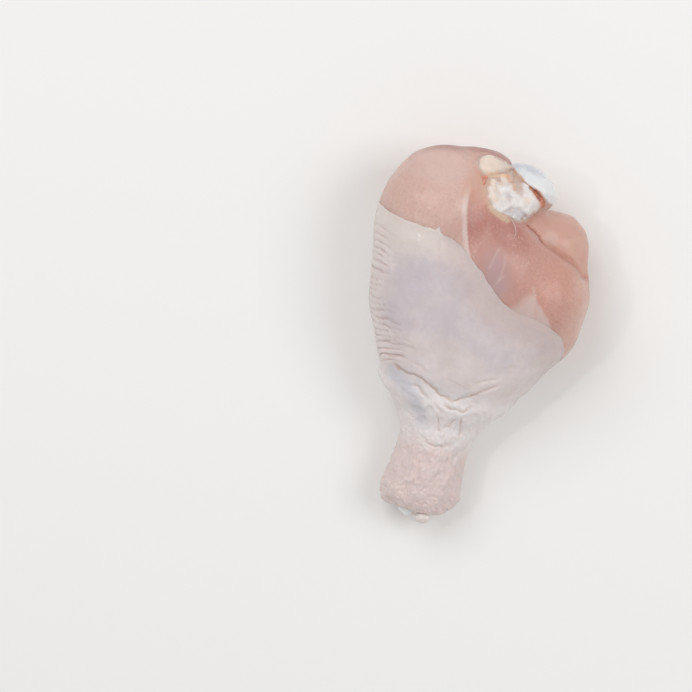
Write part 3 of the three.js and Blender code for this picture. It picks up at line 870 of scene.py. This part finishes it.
kneeCords = {
    "nerve": [
        {"along": [(3.4, 104.8), (4.9, 103.4), (5.8, 101.8), (6.1, 100.2), (5.7, 98.5)], "radii": [0.2, 0.24, 0.2, 0.12], "lift": -0.12},
    ],
    "vessel": [
        {"along": [(-9.8, 115.5), (-9, 115.6), (-8.3, 115.9), (-7.8, 116.2)], "radii": [0.4, 0.65, 0.7, 0.45], "lift": -0.15},
        {"along": [(-9, 115), (-8.6, 114.4), (-8.4, 113.2)], "radii": [0.6, 0.8, 0.4], "lift": -0.25},
    ],
}
nerveLook = dict(
    capsuleLook,
    # A nerve: a pale cord under a clear film
    name="paleNerve",
    colour="#ddbfb2",
    clouds=[],
    tints=[],
)
vesselLook = dict(
    meatLook,
    # The cut end of a vessel: soft walls, stained orange red by blood
    name="cutVessel",
    colour="#e89c86",
    clouds=[{"size": (0.9, 0.9, 0.9), "colour": "#bf6653", "amount": 0.7}],
    tints=[],
)

# Tendons at the ankle: a stub from the model, and thinner ones beside it

ankle = {
    "voxel": 0.2,
    "smoothing": 16,
    "ring": {"count": 5, "seed": 3, "start": 170, "step": 58, "radius": 6.7, "height": 8.8, "low": 3.8},
    "stub": {"from": 6, "to": 3.3, "radii": [1.4, 1.6, 1.5, 1.1]},
}
tendonLook = {
    # Tendon cut across: pearly white cord with fine strands
    "name": "cutTendon",
    "colour": "#eae2dc",
    "clouds": [{"size": (0.6, 2.5, 0.6), "colour": "#d8c5bd", "amount": 0.6}],
    "tints": [],
    "relief": [{"size": (0.35, 2.5, 0.35), "depth": 0.08, "detail": 2}],
    "roughness": (0.26, 0.4),
    "depth": {"weight": 0.3, "spread": (1.0, 0.8, 0.65), "reach": 0.9},
    "film": {"weight": 0.35, "roughness": 0.08},
}


def makeTendon():
    bm = withModifiers(copyOfNode("ankle_tendon"), *remeshed(ankle["voxel"], ankle["smoothing"]))
    places, normals = readPlaces(bm)
    moveAlong(bm, normals, 0.12 * uneven(places, (0.8, 3, 0.8), 9, 2))
    return bm


def makeAnkleStubs():
    ring, stub = ankle["ring"], ankle["stub"]
    bm = bmesh.new()
    draws = np.random.default_rng(ring["seed"]).uniform(-0.5, 0.5, (ring["count"], 3))
    for number, (stray, thicker, longer) in enumerate(draws.tolist()):
        angle = math.radians(ring["start"] + number * ring["step"] + 22 * stray)
        size = 1 + 0.55 * thicker
        end = stub["to"] + 0.5 * longer
        x = ring["radius"] * math.cos(angle)
        z = max(ring["height"] + ring["radius"] * math.sin(angle), ring["low"])
        ends = [(0.9 * x, stub["from"], z), (x, (stub["from"] + end) / 2, z), (x * 0.97, end, z)]
        strand(bm, [at(*spot) for spot in smoothPath(ends, 4)], [size * radius for radius in stub["radii"]], 0.7)
    return withModifiers(closed(bm), smoothLevels(2))


# Skin: a thin sleeve with folds round the neck and a thin wet edge

skin = {
    "levels": 2,
    "wall": 0.6,
    "smoothing": 2,
    "rim": {"reach": 7, "more": 12, "thin": 0.06, "thick": 0.4, "wave": 0.4, "shred": (-18.9, 2.4, 0.4), "mouthReach": 5, "mouthRest": 0.45},
    "wobble": {"size": 3.2, "reach": 0.55},
    "folds": [
        {
            "line": [
                (-22.5, 50.4), (-20.4, 49.1), (-18, 47.4), (-15.4, 46.8), (-12.4, 47.3), (-9, 46), (-5.6, 44.4),
                (-2.5, 42.8), (1.3, 42.2), (3, 42.7), (5, 44.1), (8.6, 46.4), (12.3, 49.4), (16, 52.6),
            ],
            "depth": 0.5, "width": 0.6, "fade": 0.1,
        },
        {"line": [(-14.6, 43.6), (-10.7, 43.2), (-7, 41.4), (-4.5, 39.6)], "depth": 0.4, "width": 0.6},
        {"line": [(-15.4, 41), (-12.4, 40.4), (-9, 39.4)], "depth": 0.22, "width": 0.5},
        {"line": [(-2.6, 40), (2, 39.6), (6.2, 40), (9.6, 42.9)], "depth": 0.5, "width": 0.6},
        {"line": [(-3.5, 48.9), (0.7, 47.9), (4.2, 47.3)], "depth": 0.16, "width": 0.5},
        {"line": [(-16, 50.6), (-12, 50), (-8, 48.4)], "depth": 0.2, "width": 0.5},
        {"line": [(5.2, 49.3), (8.5, 50.4), (11.6, 52.2), (15.4, 54.8)], "depth": 0.26, "width": 0.5},
        {"line": [(-4.3, 40), (-2.1, 37.9), (0.4, 37.1)], "depth": 0.35, "width": 0.55},
        {"line": [(0.9, 32.2), (3.4, 33.8), (4.7, 37.2)], "depth": 0.4, "width": 0.55},
        {"line": [(6.2, 39.6), (6.6, 36.7), (7.4, 32.8), (7.2, 29)], "depth": 0.4, "width": 0.55},
        {"line": [(-1.6, 37), (-0.6, 33.6), (0.6, 30)], "depth": 0.35, "width": 0.6},
        {"line": [(-27.5, 53.9), (-24, 55.4), (-20, 56.8)], "depth": 0.35, "width": 0.55},
        {"line": [(-25.5, 50.6), (-21, 51), (-17, 52.4)], "depth": 0.35, "width": 0.55},
        {"line": [(-22.4, 53.6), (-18, 54.6), (-14, 55.4)], "depth": 0.22, "width": 0.5},
        {"line": [(14.4, 56.1), (20.4, 60)], "depth": 0.14, "width": 0.6},
        {"line": [(-5, 27.4), (-1, 26), (3, 26.4), (7, 28.4)], "depth": 0.35, "width": 0.6},
        {"line": [(-7, 21), (-2.5, 19.6), (1.5, 20.2)], "depth": 0.35, "width": 0.6},
    ],
    "wrinkles": {"spacing": 2.15, "depth": 0.6, "low": 47, "high": 94, "lowSlope": 0.15, "highSlope": -0.35},
    "flatBand": [(-20, 46.5), (-11.3, 40.2), (-6, 33)],
    "lumps": {"size": (3.4, 4.2, 3.4), "height": 0.5, "from": 50, "to": 40},
    "crinkles": [
        {"size": (8, 2.5, 8), "depth": 0.35, "from": 34, "to": 22, "seed": 31},
        {"size": (3, 8, 5), "depth": 0.25, "from": 42, "to": 32, "seed": 33},
    ],
    "blue": [
        ((-24, 73.5), (4, 8)), ((-13.5, 75), (5, 7)), ((-8.5, 78.5), (5, 4)), ((-10.5, 68.5), (4, 5)),
        ((2.5, 66), (5, 4)), ((11, 62), (4, 5)), ((-20.5, 67), (3, 4)), ((-14, 40), (3, 9)),
    ],
}
skinLook = {
    # Raw poultry skin over meat: thin, pinkish white and translucent, so that the dark muscle and its
    # veins show through it as lavender, with fine creases, pores and beads of water
    "name": "poultrySkin",
    "colour": "#e8dbda",
    "clouds": [
        {"size": (12, 16, 12), "colour": "#d2c7ca", "amount": 0.75},
        {"size": (8, 11, 8), "colour": "#ded2cc", "amount": 0.7},
        {"size": (2.4, 3.2, 2.4), "colour": "#cbb9b8", "amount": 0.2},
        {"size": (0.6, 0.7, 0.6), "colour": "#e6dcd9", "amount": 0.22, "detail": 2},
    ],
    "tints": [
        {"mask": "blue", "colour": "#c1b7c4", "amount": 0.4, "ragged": (6, 8, 6), "tear": 1.2},
        {"mask": "cream", "colour": "#e4d7cf", "amount": 0.75, "ragged": (5, 4, 5), "tear": 0.5},
        {"mask": "blotch", "colour": "#dcb894", "amount": 0.5, "between": (1.75, 2.2), "ragged": (1.3, 1.3, 1.3), "tear": 2.0},
        {"mask": "sheer", "colour": "#c6afaa", "amount": 0.55, "ragged": (5, 5, 5), "tear": 0.6},
        {"mask": "ankle", "colour": "#e2cdc8", "amount": 0.7, "ragged": (4, 4, 4)},
        {"mask": "neckPale", "colour": "#ebe4e3", "amount": 0.85, "ragged": (3, 4, 3), "tear": 0.7},
        {"mask": "flatBand", "colour": "#d0cdd4", "amount": 0.7, "ragged": (3, 5, 3), "tear": 0.7},
        {"mask": "veil", "colour": "#d5bfb9", "amount": 0.9, "ragged": (2, 4, 2)},
        # the folds' own tan lines, darkened further as painted shade down in the fold valleys
        {"mask": "fold", "colour": "#bd957f", "amount": 0.65, "between": (0.1, 1.0), "ragged": (3, 3, 3), "tear": 0.7},
        # painted shade in the valleys of the wrinkles, mauve grey
        {"mask": "wrinkle", "colour": "#ae9490", "amount": 0.6, "ragged": (3, 2, 3), "tear": 0.6},
    ],
    "relief": [
        {"size": (1.7, 1.7, 1.7), "depth": -0.08, "cells": True},
        {"size": (1.3, 1.3, 1.3), "depth": -0.3, "cells": True, "mask": "ankle"},
        {"size": (2.2, 2.8, 2.2), "depth": 0.32, "detail": 1, "mask": "neck"},
        {"size": (1.4, 0.9, 1.2), "depth": 0.07, "detail": 3},
        {"size": (0.45, 0.45, 0.45), "depth": 0.025, "detail": 2},
        {"size": (6, 8, 6), "depth": 0.4, "detail": 2},
    ],
    "roughness": (0.3, 0.48),
    "depth": {"weight": 0.4, "spread": (1.0, 0.6, 0.5), "reach": 2.0},
    "film": {"weight": 0.4, "roughness": 0.1},
}


def outerSheet():  # the skin's outer face alone, as smooth quads
    inner = BVHTree.FromBMesh(copyOfNode("meat"))
    bm = copyOfNode("skin")
    toQuads(bm)
    bm.normal_update()
    outside = set()
    for vert in bm.verts:
        nearest = inner.find_nearest(vert.co)[0]
        if (vert.co - nearest).dot(vert.normal) > 0:
            outside.add(vert)
    hidden = [face for face in bm.faces if any(v not in outside for v in face.verts)]
    bmesh.ops.delete(bm, geom=hidden, context="FACES")
    return withModifiers(bm, smoothLevels(skin["levels"]))


def toEdge(bm, atKnee):  # millimetres from every vertex of the sheet to one of its two cut edges
    middleOfLeg = at(0, 55).y
    spots = []
    for edge in bm.edges:
        a, b = edge.verts[0].co, edge.verts[1].co
        if edge.is_boundary and (a.y > middleOfLeg) == atKnee:
            spots += [a.lerp(b, step / 4) for step in range(4)]
    tree = KDTree(len(spots))
    for number, spot in enumerate(spots):
        tree.insert(spot, number)
    tree.balance()
    return np.array([tree.find(vert.co)[2] for vert in bm.verts]) / mm


def layEdge(bm):  # the cut edge wanders a little, thins out and clings to the meat
    rim = skin["rim"]
    places, normals = readPlaces(bm)
    reach = rim["reach"] + rim["more"] * soft(-20, 4, places[:, 0])
    near = 1 - soft(0, reach, toEdge(bm, True))
    mouth = 1 - soft(0, rim["mouthReach"], toEdge(bm, False))
    x, length, width = rim["shred"]
    wave = rim["wave"] * (uneven(places, 4, 21) + 0.4 * uneven(places, 1.4, 22))
    wave += length * ridge(places[:, 0] - x, width) * near**4 * soft(0, 0.4, normals[:, 2])
    for vert, shift in zip(bm.verts, wave * near):
        vert.co.y += float(shift) * mm
    places, normals = readPlaces(bm)
    rest = rim["thin"] + (rim["thick"] - rim["thin"]) * soft(-10, -26, places[:, 0])
    gap = standOff(bm, meatSurface)
    moveAlong(bm, normals, (rest - gap) * near + np.minimum(rim["mouthRest"] - gap, 0) * mouth)


def skinHeights(places, normals):  # how far the skin rises, and where its folds and wrinkles lie
    top = soft(-0.2, 0.3, normals[:, 2])
    shown = soft(-0.75, -0.35, normals[:, 2])  # nothing stands off the flat underside
    x, y = places[:, 0], places[:, 1]
    wobble, lumps, wrinkles = skin["wobble"], skin["lumps"], skin["wrinkles"]
    drift = [wobble["reach"] * uneven(places, wobble["size"], seed) for seed in (41, 42)]
    wavy = places + np.column_stack([*drift, np.zeros(len(places))])
    heights, marks = np.zeros(len(places)), np.zeros(len(places))
    for one in skin["folds"]:
        away, share = toLine(wavy, one["line"])
        fade = one.get("fade", 0.3)
        ends = soft(0, fade, share) * soft(1, 1 - fade, share) * top
        side = np.sign(above(wavy, one["line"]))
        heights += one["depth"] * fold(away * side, one["width"]) * ends
        # painted shade along each fold line, together with its tan colour
        marks = np.maximum(marks, 1.5 * one["depth"] * ridge(away, 0.75 * one["width"]) * ends)
    heights += lumps["height"] * uneven(places, lumps["size"], 11, 3) * soft(lumps["from"], lumps["to"], y) * shown
    heights += 0.18 * uneven(places, (9, 12, 9), 12) * shown
    for one in skin["crinkles"]:
        valley = soft(0.12, 0, np.abs(uneven(places, one["size"], one["seed"])))
        valley *= soft(one["from"], one["to"], y) * shown
        heights -= one["depth"] * valley
        # painted shade in the crinkle valleys
        marks = np.maximum(marks, 0.3 * valley)

    span = (y - wrinkles["low"]) / (wrinkles["high"] - wrinkles["low"])
    slope = wrinkles["lowSlope"] + (wrinkles["highSlope"] - wrinkles["lowSlope"]) * np.clip(span, 0, 1)
    across = y - slope * (x + 36) + 1.2 * uneven(places, (12, 7, 12), 13) + 0.3 * uneven(places, (5, 2.6, 5), 14)
    valley = np.clip(np.cos(2 * math.pi * across / wrinkles["spacing"]), 0, 1) ** 2
    facing = normals[:, 2] + 0.16 * uneven(places, (9, 4, 9), 15) + 0.1 * soft(0.25, 0.8, span)
    zone = soft(0.94, 0.6, facing) * soft(-6, -16, x) * soft(0, 0.08, span) * soft(1, 0.92, span) * shown
    zone *= 0.6 + 0.4 * soft(-0.35, 0.35, uneven(places, (9, 5, 9), 16))
    zone *= soft(-0.55, 0.3, normals[:, 2] + 0.35 * uneven(places, (6, 9, 6), 17))
    heights -= wrinkles["depth"] * valley * zone
    # the wrinkle valleys also go back as a mask for painted shade
    return heights, marks, valley * zone


def makeSkin():
    bm = outerSheet()
    layEdge(bm)
    away = toEdge(bm, True)
    store(bm, "fromEdge", away)
    paint(bm, "edge", 1 - soft(0, skin["rim"]["reach"], away))
    paint(bm, "side", np.ones(len(bm.verts)))  # 1 outside, 0 inside, and in between round the edges
    outer = list(bm.faces)
    bmesh.ops.solidify(bm, geom=outer, thickness=skin["wall"] * mm)
    side, edge = bm.verts.layers.float["side"], bm.verts.layers.float["edge"]
    outerVerts = {vert for face in outer for vert in face.verts}
    for vert in bm.verts:
        if vert not in outerVerts:
            vert[side] = 0
    bm.normal_update()
    shown = dict.fromkeys(line for face in outer if face.normal.z > -0.25 for line in face.edges)
    bmesh.ops.subdivide_edges(bm, edges=list(shown), cuts=1, use_grid_fill=True)
    fine = [vert for vert in bm.verts if vert[side] > 0.99 and vert[edge] < 0.7]
    for _ in range(skin["smoothing"]):
        bmesh.ops.smooth_vert(bm, verts=fine, factor=0.5, use_axis_x=True, use_axis_y=True, use_axis_z=True)

    places, normals = readPlaces(bm)
    outside = np.array([vert[side] for vert in bm.verts])
    near = np.array([vert[edge] for vert in bm.verts])
    normals *= np.where(outside > 0.5, 1, -1)[:, None]
    heights, folds, wrinkles = skinHeights(places, normals)
    moveAlong(bm, normals, heights * (1 - 0.85 * soft(0.55, 1, near)))
    top = soft(-0.2, 0.3, normals[:, 2])
    blue = sum(patch(places, centre, np.multiply(reach, 1.45)) ** 0.7 for centre, reach in skin["blue"])
    paint(bm, "blue", 0.8 * blue * top)
    x, y = places[:, 0], places[:, 1]
    fromEdge = np.array([vert[bm.verts.layers.float["fromEdge"]] for vert in bm.verts])
    band = soft(15, 5, fromEdge + 0.2 * (x + 34)) * soft(-2, -22, x)
    paint(bm, "cream", band)
    paint(bm, "blotch", soft(12, 8, fromEdge) * soft(0, -12, x))
    paint(bm, "ankle", soft(38, 20, y))
    paint(bm, "neckPale", soft(50, 42, y) * soft(20, 32, y))
    paint(bm, "neck", soft(52, 42, y) * soft(8, 16, y))
    paint(bm, "flatBand", ridge(toLine(places, skin["flatBand"])[0], 2.4) * top)
    paint(bm, "sheer", soft(17, 1, fromEdge) * soft(-23, -10, x))
    paint(bm, "veil", inVeil(places) * soft(4, 0.5, fromEdge) * top)
    # tan colour and painted shade along the folds
    paint(bm, "fold", folds)
    # painted shade in the wrinkle valleys
    paint(bm, "wrinkle", wrinkles)
    return bm


skinMesh = makeSkin()
print("the skin is shaped")

finishPiece(meatMesh, "legMeat", "meat", tissue(meatLook), "meat")
finishPiece(boneMesh, "boneHead", "cartilage", tissue(boneLook), "shank_bone")
finishPiece(capsuleMesh, "jointCapsule", "connective_tissue", tissue(capsuleLook), "knee_cartilage")
finishPiece(fatMesh, "fatPad", "fat", tissue(fatLook), "knee_fat")
cordPieces = [("nerve", "connective_tissue", nerveLook), ("vessel", "meat", vesselLook)]
for name, slot, look in cordPieces:
    cords = withModifiers(strandsOver(kneeSurface, kneeCords[name]), smoothLevels(2))
    finishPiece(cords, "knee" + name.capitalize(), slot, tissue(look))
finishPiece(makeTendon(), "tendonStub", "connective_tissue", tissue(tendonLook), "ankle_tendon")
finishPiece(makeAnkleStubs(), "ankleStubs", "connective_tissue", tissue(tendonLook))
finishPiece(skinMesh, "skinSleeve", "skin", tissue(skinLook), "skin")
